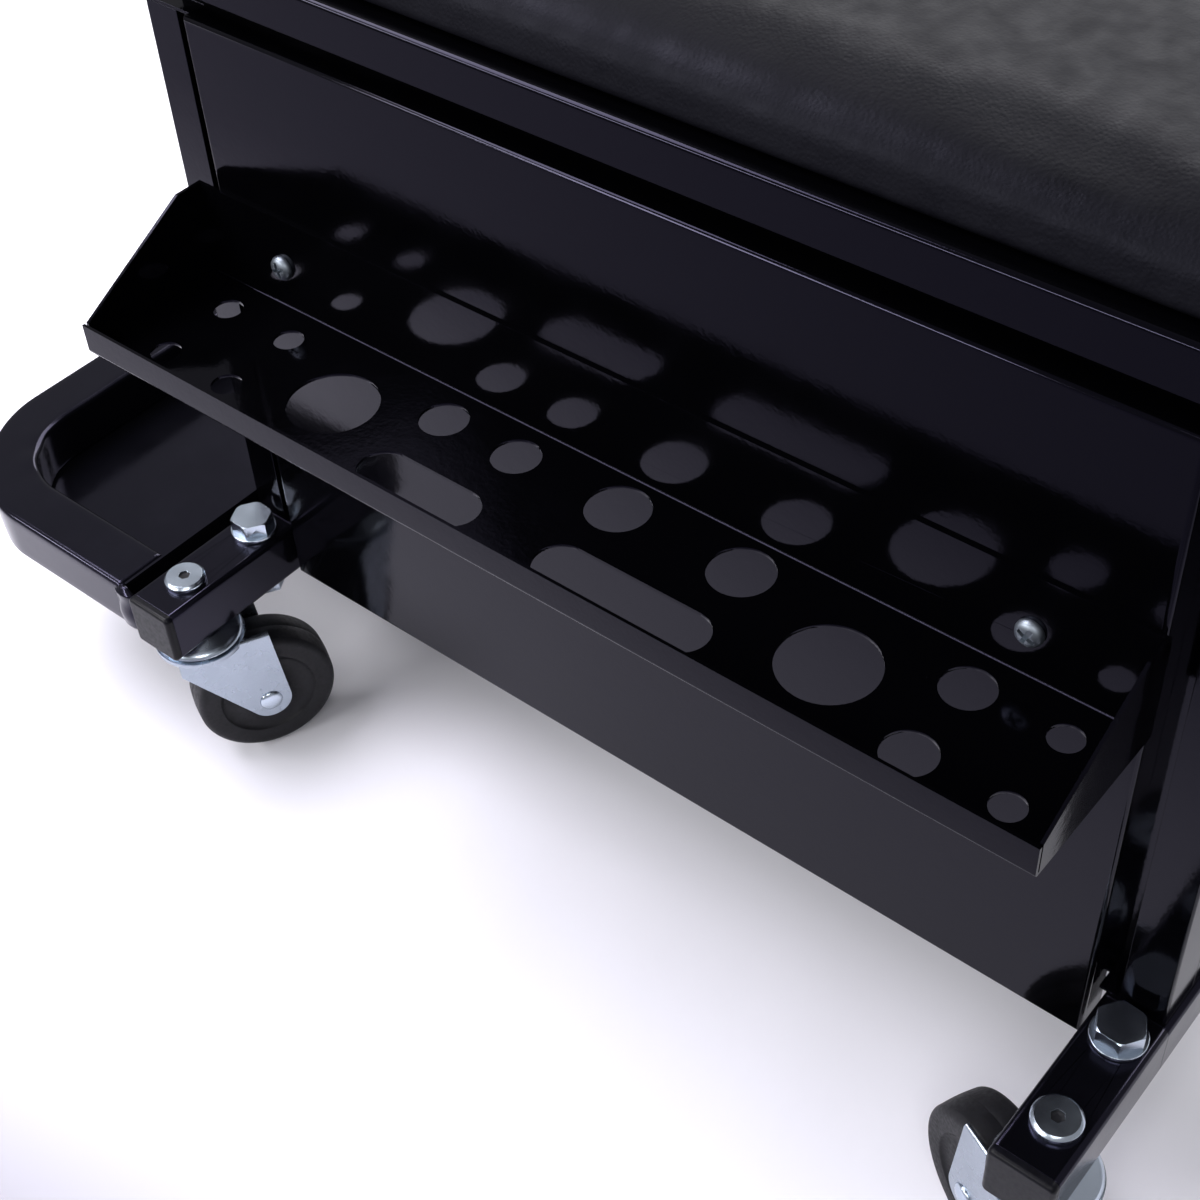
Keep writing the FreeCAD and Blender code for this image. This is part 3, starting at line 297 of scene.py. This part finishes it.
# ---------------------------------------------------------------- pieces

def new_piece(name, vertices, faces, slot, body, smooth=True):
    """A mesh piece in the part's frame that rides on a body and takes a slot's material."""
    mesh = bpy.data.meshes.new(name)
    mesh.from_pydata([tuple(v) for v in vertices], [], faces)
    mesh.validate()
    piece = bpy.data.objects.new(name, mesh)
    bpy.context.scene.collection.objects.link(piece)
    return dress_piece(piece, slot, body, smooth)


def dress_piece(piece, slot, body, smooth=True):
    mesh = piece.data
    shell = bmesh.new()
    shell.from_mesh(mesh)
    bmesh.ops.recalc_face_normals(shell, faces=shell.faces)
    shell.to_mesh(mesh)
    shell.free()
    mesh.materials.clear()
    mesh.materials.append(MATERIALS[slot])
    mesh.polygons.foreach_set("use_smooth", [smooth] * len(mesh.polygons))
    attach(piece, body)
    return piece


def tube_mesh(rings):
    """Vertices and faces of a closed form through rings of equally many points, capped at both ends."""
    count = len(rings[0])
    vertices = [point for ring in rings for point in ring]
    faces = []
    for k in range(len(rings) - 1):
        here, there = k * count, (k + 1) * count
        for j in range(count):
            following = (j + 1) % count
            faces.append((here + j, here + following, there + following, there + j))
    for first in (0, (len(rings) - 1) * count):
        hub = len(vertices)
        vertices.append(sum((Vector(vertices[first + j]) for j in range(count)), Vector()) / count)
        faces += [(hub, first + j, first + (j + 1) % count) for j in range(count)]
    return vertices, faces


def lathe(name, profile, place, slot, body, sides):
    """Closed form of revolution about the local Z of place, from (radius, z) points in metres."""
    rings = []
    for radius, z in profile:
        turns = (2 * math.pi * k / sides for k in range(sides))
        rings.append([place @ Vector((radius * math.cos(t), radius * math.sin(t), z)) for t in turns])
    return new_piece(name, *tube_mesh(rings), slot, body)


def arc(centre, radius, start, end, steps):
    """(radius, z) points along an arc, its angles in degrees."""
    angles = (math.radians(start + (end - start) * k / steps) for k in range(steps + 1))
    return [(centre[0] + radius * math.cos(a), centre[1] + radius * math.sin(a)) for a in angles]


def mirrored(profile):
    """A profile down to z = 0, followed by its mirror image below."""
    return profile + [(radius, -z) for radius, z in reversed(profile)]


# ---------------------------------------------------------------- seat

SEAT_INSET = 0.0015         # the cover starts this much smaller all round than the CAD pad
SEAT_VOXEL = 0.005
SEAT_PRESSURE = 4.0
SEAT_FRAMES = 20
SEAT_HELD = 0.002           # the cover is held fast this far up from its underside
SEAT_LIFT = 0.0002          # its underside stays this far above the CAD pad's
SEAT_SWELL = 0.004          # farthest that the cover may move from its starting form
SEAT_CROWN = 0.0035
SEAT_OVER = 0.001           # how far the crown may rise past the CAD pad


def evaluated_mesh(piece):
    depsgraph = bpy.context.evaluated_depsgraph_get()
    return bpy.data.meshes.new_from_object(piece.evaluated_get(depsgraph))


def swell(piece, floor_z):
    """Blows the closed cover up as cloth, its base held, and keeps the result as plain vertices."""
    start = [v.co.copy() for v in piece.data.vertices]
    held = piece.vertex_groups.new(name="base")
    held.add([v.index for v in piece.data.vertices if v.co.z < floor_z + SEAT_HELD], 1.0, "REPLACE")
    cloth = piece.modifiers.new("cloth", "CLOTH")
    cloth.settings.use_pressure = True
    cloth.settings.uniform_pressure_force = SEAT_PRESSURE
    cloth.settings.effector_weights.gravity = 0
    cloth.settings.vertex_group_mass = "base"
    cloth.point_cache.frame_start, cloth.point_cache.frame_end = 1, SEAT_FRAMES
    for step in range(1, SEAT_FRAMES + 1):
        bpy.context.scene.frame_set(step)
    swollen = evaluated_mesh(piece)
    bpy.context.scene.frame_set(1)
    piece.modifiers.clear()
    for vertex, old, new in zip(piece.data.vertices, start, swollen.vertices):
        move = new.co - old
        if move.length > SEAT_SWELL:
            move *= SEAT_SWELL / move.length
        vertex.co = old + move
        vertex.co.z = max(vertex.co.z, floor_z)


def shrink(piece, middle, half, top):
    """Draws the sides in by the inset and cuts the top down to make room for the crown."""
    for vertex in piece.data.vertices:
        side = vertex.co - middle
        vertex.co.x = middle.x + side.x * (1 - SEAT_INSET / half.x)
        vertex.co.y = middle.y + side.y * (1 - SEAT_INSET / half.y)
        vertex.co.z = min(vertex.co.z, top - SEAT_CROWN)


def crown(piece, middle, half, top):
    for vertex in piece.data.vertices:
        u, v = (vertex.co.x - middle.x) / half.x, (vertex.co.y - middle.y) / half.y
        if vertex.co.z > middle.z:
            vertex.co.z += SEAT_CROWN * max(0.0, 1 - u ** 4) * max(0.0, 1 - v ** 4)
        vertex.co.z = min(vertex.co.z, top + SEAT_OVER)


def seat_cover():
    """Padded vinyl cover with a crowned top and soft rounded sides."""
    low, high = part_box("seat_pad")
    middle, half = (low + high) / 2, (high - low) / 2
    piece = bpy.data.objects.new("seat_cover", frame["nodes"]["seat_pad"].data.copy())
    bpy.context.scene.collection.objects.link(piece)
    shrink(piece, middle, half, high.z)
    remesh = piece.modifiers.new("voxels", "REMESH")
    remesh.mode, remesh.voxel_size = "VOXEL", SEAT_VOXEL
    piece.data = evaluated_mesh(piece)
    piece.modifiers.clear()
    swell(piece, low.z + SEAT_LIFT)
    crown(piece, middle, half, high.z)
    smooth = piece.modifiers.new("smooth", "SMOOTH")
    smooth.factor, smooth.iterations = 0.5, 10
    subdivision = piece.modifiers.new("subdivision", "SUBSURF")
    subdivision.levels = subdivision.render_levels = 1
    dress_piece(piece, "seat_vinyl", "lid")
    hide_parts("seat_pad")


# ---------------------------------------------------------------- bumper

BUMPER_BEND = 0.0495        # radius of the bends along the tube's centre line
TUBE_SIDE = 0.025
TUBE_HALF = TUBE_SIDE / 2
TUBE_ROUND = 0.0025
END_STEPS = 24              # stations along each straight end, each bend and the front
BEND_STEPS = 48
FRONT_STEPS = 32
ROUND_STEPS = 5             # steps around each rounded corner of the section and along each flat
FLAT_STEPS = 8
WRINKLE = 0.0005
WRINKLES = 3
WRINKLE_AT_EDGE = 0.35      # share of a wrinkle that reaches the inner wall's edges
WRINKLE_ON_TOP = 0.5        # share that shows on the top wall
OUTER_SINK = 0.0016         # how far the outer wall sinks in the middle of a bend
OUTER_LEAN = 0.0036         # how much further its lower edge does


def bumper_path():
    """Stations along the bumper's centre line: point, direction outwards, and place in its bend or None."""
    low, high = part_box("bumper_tube")
    x_out, y_out, z = low.x + TUBE_HALF, high.y - TUBE_HALF, (low.z + high.z) / 2
    bend_x = x_out + BUMPER_BEND
    straight = high.x - bend_x
    reach = y_out - BUMPER_BEND
    stations = []
    for k in range(END_STEPS + 1):
        x = high.x - straight * k / END_STEPS
        stations.append((Vector((x, -y_out, z)), Vector((0, -1, 0)), None))
    for side, first in ((-1, 270), (1, 180)):
        centre = Vector((bend_x, side * reach, z))
        for k in range(1, BEND_STEPS):
            turn = math.radians(first - 90 * k / BEND_STEPS)
            out = Vector((math.cos(turn), math.sin(turn), 0))
            stations.append((centre + out * BUMPER_BEND, out, k / BEND_STEPS))
        if side < 0:
            for k in range(FRONT_STEPS + 1):
                y = -reach + 2 * reach * k / FRONT_STEPS
                stations.append((Vector((x_out, y, z)), Vector((-1, 0, 0)), None))
    for k in range(END_STEPS + 1):
        x = bend_x + straight * k / END_STEPS
        stations.append((Vector((x, y_out, z)), Vector((0, 1, 0)), None))
    return stations


def tube_section():
    """Rounded square outline as (outwards, up) points in metres, finely divided along its flats."""
    flat = TUBE_HALF - TUBE_ROUND
    corners = ((1, 1, 0, (-1, 0)), (-1, 1, 90, (0, -1)), (-1, -1, 180, (1, 0)), (1, -1, 270, (0, 1)))
    points = []
    for cx, cy, start, along in corners:
        for k in range(ROUND_STEPS + 1):
            turn = math.radians(start + 90 * k / ROUND_STEPS)
            points.append((cx * flat + TUBE_ROUND * math.cos(turn), cy * flat + TUBE_ROUND * math.sin(turn)))
        last = Vector(points[-1])
        points += [tuple(last + Vector(along) * (2 * flat * k / FLAT_STEPS)) for k in range(1, FLAT_STEPS)]
    return points


def pressed(outwards, up, bend):
    """A section point as the bending leaves it, bend being its place in the bend from 0 to 1."""
    fade = math.sin(math.pi * bend) ** 2
    if outwards > 0:
        sink = OUTER_SINK + OUTER_LEAN * (TUBE_HALF - up) / TUBE_SIDE
        return outwards - sink * fade * (outwards / TUBE_HALF), up
    ripple = math.sin(2 * math.pi * WRINKLES * bend)
    height = max(0.0, 1 - (up / TUBE_HALF) ** 2)
    outwards += WRINKLE * fade * ripple * (WRINKLE_AT_EDGE + height) * (-outwards / TUBE_HALF)
    if up > 0:
        up += WRINKLE_ON_TOP * WRINKLE * fade * ripple * (-outwards / TUBE_HALF) * (up / TUBE_HALF)
    return outwards, up


def bumper():
    """Bent square tube: small pressed wrinkles inside each bend, its outer wall sunk a little there."""
    section = tube_section()
    rings = []
    for point, out, bend in bumper_path():
        shape = section if bend is None else [pressed(outwards, up, bend) for outwards, up in section]
        rings.append([point + out * outwards + Vector((0, 0, up)) for outwards, up in shape])
    piece = new_piece("bumper_skin", *tube_mesh(rings), "black_frame_paint", "chest")
    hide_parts("bumper_tube")


WELD_STEPS = 60
WELD_SIDES = 16
WELD_WIDTH = 0.0060
WELD_PROUD = 0.0026
WELD_ROOT = 0.0012          # how deep it lies in the slot
WELD_WAVE = 0.0004          # how much its width and height vary, and how often from end to end
WELD_WAVES = 1.7
WELD_TAPER = 6              # its ends narrow over a sixth of its length or less
WELD_END = 0.3
WELD_INTO_FACE = 0.001
WELD_PAST_END = 0.0008
WELD_DROP = 0.0005


def weld_bead(side):
    """Painted vertical bead that closes the slot between the bumper's end and the arm."""
    low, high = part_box("bumper_tube")
    face = side * (high.y - WELD_INTO_FACE)
    middle = high.x + WELD_PAST_END
    rings = []
    for k in range(WELD_STEPS + 1):
        t = k / WELD_STEPS
        z = high.z - WELD_DROP - t * (high.z - low.z)
        wave = WELD_WAVE * math.sin(2 * math.pi * WELD_WAVES * t + 1)
        width, proud = WELD_WIDTH + wave, WELD_PROUD + wave
        taper = min(1.0, WELD_TAPER * t + WELD_END, WELD_TAPER * (1 - t) + WELD_END)
        ring = []
        for j in range(WELD_SIDES):
            turn = 2 * math.pi * j / WELD_SIDES
            out = proud * taper * max(0.0, math.sin(turn)) - WELD_ROOT * max(0.0, -math.sin(turn))
            ring.append(Vector((middle + width * taper * math.cos(turn), face + side * out, z)))
        rings.append(ring)
    name = "weld_bead_" + ("front" if side < 0 else "rear")
    new_piece(name, *tube_mesh(rings), "black_frame_paint", "chest")


# ---------------------------------------------------------------- casters

NEAR_AXIS = 0.0001          # a profile's first and last points are this far from the axis
WHEEL_RADIUS = 0.0318
WHEEL_HALF = 0.0105
WHEEL_SIDES = 96
HUB_HALF = 0.0117
HUB_FLAT = 0.0060           # radii on the wheel's side, from its hub out to its rim
HUB_EDGE = 0.0098
DISH_INNER = 0.0110
DISH_OUTER = 0.0190
RIM_INNER = 0.0222
SIDE_ROUND = 0.0008
SHOULDER = 0.0034
SHOULDER_IN = 0.0003
TREAD = ((0.0001, 0.0035), (0.0, 0.0006), (0.00015, 0.0002))    # depth below the radius, z
AXLE_RADIUS = 0.004
RIVET_RADIUS = 0.0052
RIVET_HEAD = 0.0018
RIVET_DOME = ((NEAR_AXIS, 1.0), (0.0022, 0.94), (0.0038, 0.72), (0.0048, 0.38))     # radius, share of head
RIVET_SIDES = 40
RIVET_LAP = 0.0001
FORK_HALF = 0.0144


def wheel_profile():
    """Profile of the wheel, from its hub over its tread to its hub on the other side."""
    half = [(NEAR_AXIS, HUB_HALF), (HUB_FLAT, HUB_HALF)]
    half += arc((HUB_EDGE, HUB_HALF - SIDE_ROUND), SIDE_ROUND, 90, 0, 3)
    half += [(DISH_INNER, WHEEL_HALF - 0.0015), (DISH_OUTER, WHEEL_HALF - 0.0016)]
    half += arc((RIM_INNER, WHEEL_HALF - SIDE_ROUND), SIDE_ROUND, 180, 90, 3)
    half += arc((WHEEL_RADIUS - SHOULDER - SHOULDER_IN, WHEEL_HALF - SHOULDER), SHOULDER, 90, 12, 8)
    half += [(WHEEL_RADIUS - depth, z) for depth, z in TREAD]
    return mirrored(half)


def rivet_profile():
    """Profile of the axle, with a domed head against each leg of the fork."""
    half = [(radius, FORK_HALF + RIVET_HEAD * share) for radius, share in RIVET_DOME]
    half += [(RIVET_RADIUS, FORK_HALF + RIVET_LAP), (RIVET_RADIUS - 2 * RIVET_LAP, FORK_HALF - RIVET_LAP),
             (AXLE_RADIUS, FORK_HALF - 2 * RIVET_LAP)]
    return mirrored(half)


def joint_rows():
    return {row["name"]: row for row in frame["record"]["behaviour"]["joints"]}


def casters():
    """Wheel with a dished side and rounded tread, and the riveted axle, at each corner."""
    for corner in CORNERS:
        roll = joint_rows()[f"caster_{corner}_roll"]
        turn = Vector(roll["axis"]).to_track_quat("Z", "Y").to_matrix().to_4x4()
        place = Matrix.Translation(roll["pos_m"]) @ turn
        wheel_name, fork_body = f"wheel_{corner}", f"fork_{corner}"
        wheel = lathe(wheel_name, wheel_profile(), place, "wheel_rubber", wheel_name, WHEEL_SIDES)
        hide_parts(f"caster_{corner}_wheel")
        rivet = lathe(f"rivet_{corner}", rivet_profile(), place, "zinc_plate", fork_body, RIVET_SIDES)
        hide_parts(f"caster_{corner}_axle")


SOCKET_FLATS = 0.0046       # hexagon socket of the caster bolts
SOCKET_DEPTH = 0.0032
SHADE_PLUG_CLEARANCE = 0.00005
SHADE_PLUG_OVER_FLOOR = 0.0001
SHADE_PLUG_BELOW = 0.0009       # from the bolt's top down to the painted shade plug
SHADE_PLUG_DISH = 0.0003        # and further down in its middle
DISH_SHARE = 0.6


def socket_painted_shade():
    """Dark plug in the socket of each caster bolt, dished towards its middle: painted shade for the socket's
    dark hollow.
    """
    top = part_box("caster_bolts")[1].z
    corner_radius = (SOCKET_FLATS / 2 - SHADE_PLUG_CLEARANCE) / math.cos(math.radians(30))
    turns = [math.radians(60 * k) for k in range(6)]
    levels = ((top - SOCKET_DEPTH + SHADE_PLUG_OVER_FLOOR, 1.0), (top - SHADE_PLUG_BELOW, 1.0),
              (top - SHADE_PLUG_BELOW - SHADE_PLUG_DISH, DISH_SHARE))
    for corner in CORNERS:
        x, y = joint_rows()[f"caster_{corner}_swivel"]["pos_m"][:2]
        rings = []
        for z, share in levels:
            reach = corner_radius * share
            rings.append([Vector((x + reach * math.cos(t), y + reach * math.sin(t), z)) for t in turns])
        # the plug takes the wheels' black rubber as painted shade where the socket only has shadow
        new_piece(f"socket_painted_shade_{corner}", *tube_mesh(rings), "wheel_rubber", "chest", smooth=False)


# ---------------------------------------------------------------- CAD nodes

SAME_PLACE = 1e-6           # vertices closer than this are one
EDGE_ROUND = 0.00025
EDGE_SEGMENTS = 2
EDGE_ANGLE = 40             # edges that turn less than this, in degrees, stay as they are

# nodes whose finish differs from the rest of their slot; the screws' zinc is rougher, and the screws' and
# forks' zinc is also darkened as painted shade
OWN_FINISH = {
    "parts_tray": "black_frame_paint",
    "tool_tray_screws": "screw_zinc_rough_painted_shade",
    **{f"caster_{corner}_fork": "fork_zinc" for corner in CORNERS},
}


def dress_nodes():
    """Gives every CAD node its material and a small edge round."""
    slots = {row["node"]: row["material_slot"] for row in frame["record"]["subparts"]}
    for name, node in frame["nodes"].items():
        node.data.materials.clear()
        node.data.materials.append(MATERIALS[OWN_FINISH.get(name, slots[name])])
        weld = node.modifiers.new("weld", "WELD")
        weld.merge_threshold = SAME_PLACE
        bevel = node.modifiers.new("edge_round", "BEVEL")
        bevel.width = EDGE_ROUND
        bevel.segments = EDGE_SEGMENTS
        bevel.limit_method = "ANGLE"
        bevel.angle_limit = math.radians(EDGE_ANGLE)
        bevel.harden_normals = True


make_camera()
make_stage()
dress_nodes()
seat_cover()
bumper()
for side in (-1, 1):
    weld_bead(side)
casters()
socket_painted_shade()
